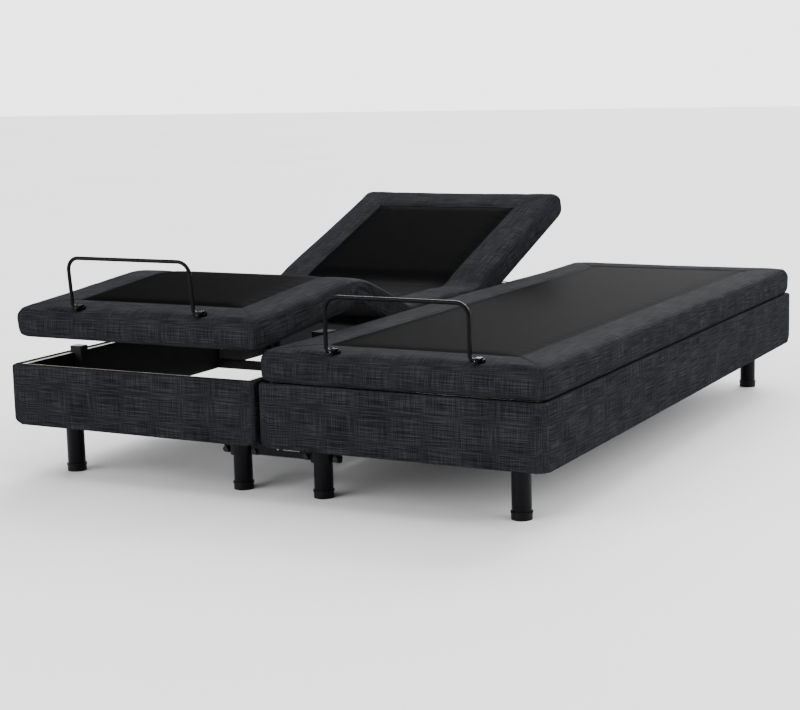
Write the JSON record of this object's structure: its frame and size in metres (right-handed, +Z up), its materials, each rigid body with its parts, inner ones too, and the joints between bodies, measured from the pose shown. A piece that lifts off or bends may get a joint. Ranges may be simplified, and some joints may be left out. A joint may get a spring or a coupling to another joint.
{
  "type": "adjustable bed base",
  "caption": "Split adjustable bed base: twin upholstered boxes on black legs with hinged head, thigh and foot sections, lift drives and mattress retainer bars.",
  "frame": {"origin": "floor level, midway between the two units and halfway along them", "axes": "+X to the right seen from the foot end, +Y towards the head end, +Z up"},
  "size_m": [1.538, 2.032, 0.6247],
  "materials": {
    "linen": "charcoal linen weave",
    "wood_core": "bare softwood",
    "plywood": "bare plywood",
    "frame_black": "black powder coat",
    "black_metal": "satin black",
    "retainer_black": "gloss black",
    "rod_steel": "ground",
    "zinc": "zinc plated",
    "bolt_black": "black oxide",
    "drive_plastic": "moulded black",
    "glide_plastic": "satin black",
    "rubber": "moulded"
  },
  "bodies": {
    "root": {"left_rail_core": "wood_core", "left_rail_cover": "linen", "left_legs": "black_metal", "left_base_frame": "frame_black", "left_seat_board": "plywood", "left_seat_pad": "linen", "left_head_drive": "drive_plastic", "left_head_motor": "drive_plastic", "left_leg_drive": "drive_plastic", "left_leg_motor": "drive_plastic", "left_control_box": "drive_plastic", "right_rail_core": "wood_core", "right_rail_cover": "linen", "right_legs": "black_metal", "right_base_frame": "frame_black", "right_seat_board": "plywood", "right_seat_pad": "linen", "right_head_drive": "drive_plastic", "right_head_motor": "drive_plastic", "right_leg_drive": "drive_plastic", "right_leg_motor": "drive_plastic", "right_control_box": "drive_plastic", "corner_blocks": "plywood", "leg_glides": "glide_plastic", "bumpers": "rubber", "hinge_pins": "zinc", "frame_bolts": "zinc", "link_clamps": "black_metal", "front_link_bar": "black_metal", "rear_link_bar": "black_metal", "link_bolts": "bolt_black"},
    "left_head": {"left_head_frame": "frame_black", "left_head_board": "plywood", "left_head_pad": "linen"},
    "left_thigh": {"left_thigh_frame": "frame_black", "left_thigh_board": "plywood", "left_thigh_pad": "linen", "left_knee_pins": "zinc"},
    "left_foot": {"left_foot_frame": "frame_black", "left_foot_board": "plywood", "left_foot_pad": "linen", "left_retainer_bar": "retainer_black", "left_retainer_clips": "retainer_black"},
    "left_head_rod": {"left_head_rod": "rod_steel"},
    "left_leg_rod": {"left_leg_rod": "rod_steel"},
    "right_head": {"right_head_frame": "frame_black", "right_head_board": "plywood", "right_head_pad": "linen"},
    "right_thigh": {"right_thigh_frame": "frame_black", "right_thigh_board": "plywood", "right_thigh_pad": "linen", "right_knee_pins": "zinc"},
    "right_foot": {"right_foot_frame": "frame_black", "right_foot_board": "plywood", "right_foot_pad": "linen", "right_retainer_bar": "retainer_black", "right_retainer_clips": "retainer_black"},
    "right_head_rod": {"right_head_rod": "rod_steel"},
    "right_leg_rod": {"right_leg_rod": "rod_steel"}
  },
  "joints": [
    {"name": "left_head_lift", "type": "hinge", "parent": "root", "child": "left_head", "pos_m": [-0.388, 0.284, 0.317], "axis": [1, 0, 0], "range_deg": [-20, 40]},
    {"name": "left_knee_lift", "type": "hinge", "parent": "root", "child": "left_thigh", "pos_m": [-0.388, -0.161, 0.317], "axis": [-1, 0, 0], "range_deg": [-22, 16]},
    {"name": "left_knee_bend", "type": "hinge", "parent": "left_thigh", "child": "left_foot", "pos_m": [-0.388, -0.44843, 0.43313], "axis": [1, 0, 0], "range_deg": [-27.22, 19.81]},
    {"name": "left_head_rod_slide", "type": "slide", "parent": "root", "child": "left_head_rod", "axis": [0, 1, 0], "range_m": [-0.04162, 0.08305]},
    {"name": "left_leg_rod_slide", "type": "slide", "parent": "root", "child": "left_leg_rod", "axis": [0, -1, 0], "range_m": [-0.04371, 0.03184]},
    {"name": "right_head_lift", "type": "hinge", "parent": "root", "child": "right_head", "pos_m": [0.388, 0.284, 0.317], "axis": [1, 0, 0], "range_deg": [0, 60]},
    {"name": "right_knee_lift", "type": "hinge", "parent": "root", "child": "right_thigh", "pos_m": [0.388, -0.161, 0.317], "axis": [-1, 0, 0], "range_deg": [0, 38]},
    {"name": "right_knee_bend", "type": "hinge", "parent": "right_thigh", "child": "right_foot", "pos_m": [0.388, -0.471, 0.317], "axis": [1, 0, 0], "range_deg": [0, 46.98]},
    {"name": "right_head_rod_slide", "type": "slide", "parent": "root", "child": "right_head_rod", "axis": [0, 1, 0], "range_m": [0, 0.12447]},
    {"name": "right_leg_rod_slide", "type": "slide", "parent": "root", "child": "right_leg_rod", "axis": [0, -1, 0], "range_m": [0, 0.07535]}
  ],
  "couplings": [
    {"joint": "left_knee_bend", "follows": "left_knee_lift", "ratio": 1.235},
    {"joint": "left_head_rod_slide", "follows": "left_head_lift", "m_per_rad": 0.11867},
    {"joint": "left_leg_rod_slide", "follows": "left_knee_lift", "m_per_rad": 0.11331},
    {"joint": "right_knee_bend", "follows": "right_knee_lift", "ratio": 1.235},
    {"joint": "right_head_rod_slide", "follows": "right_head_lift", "m_per_rad": 0.11867},
    {"joint": "right_leg_rod_slide", "follows": "right_knee_lift", "m_per_rad": 0.11331}
  ]
}
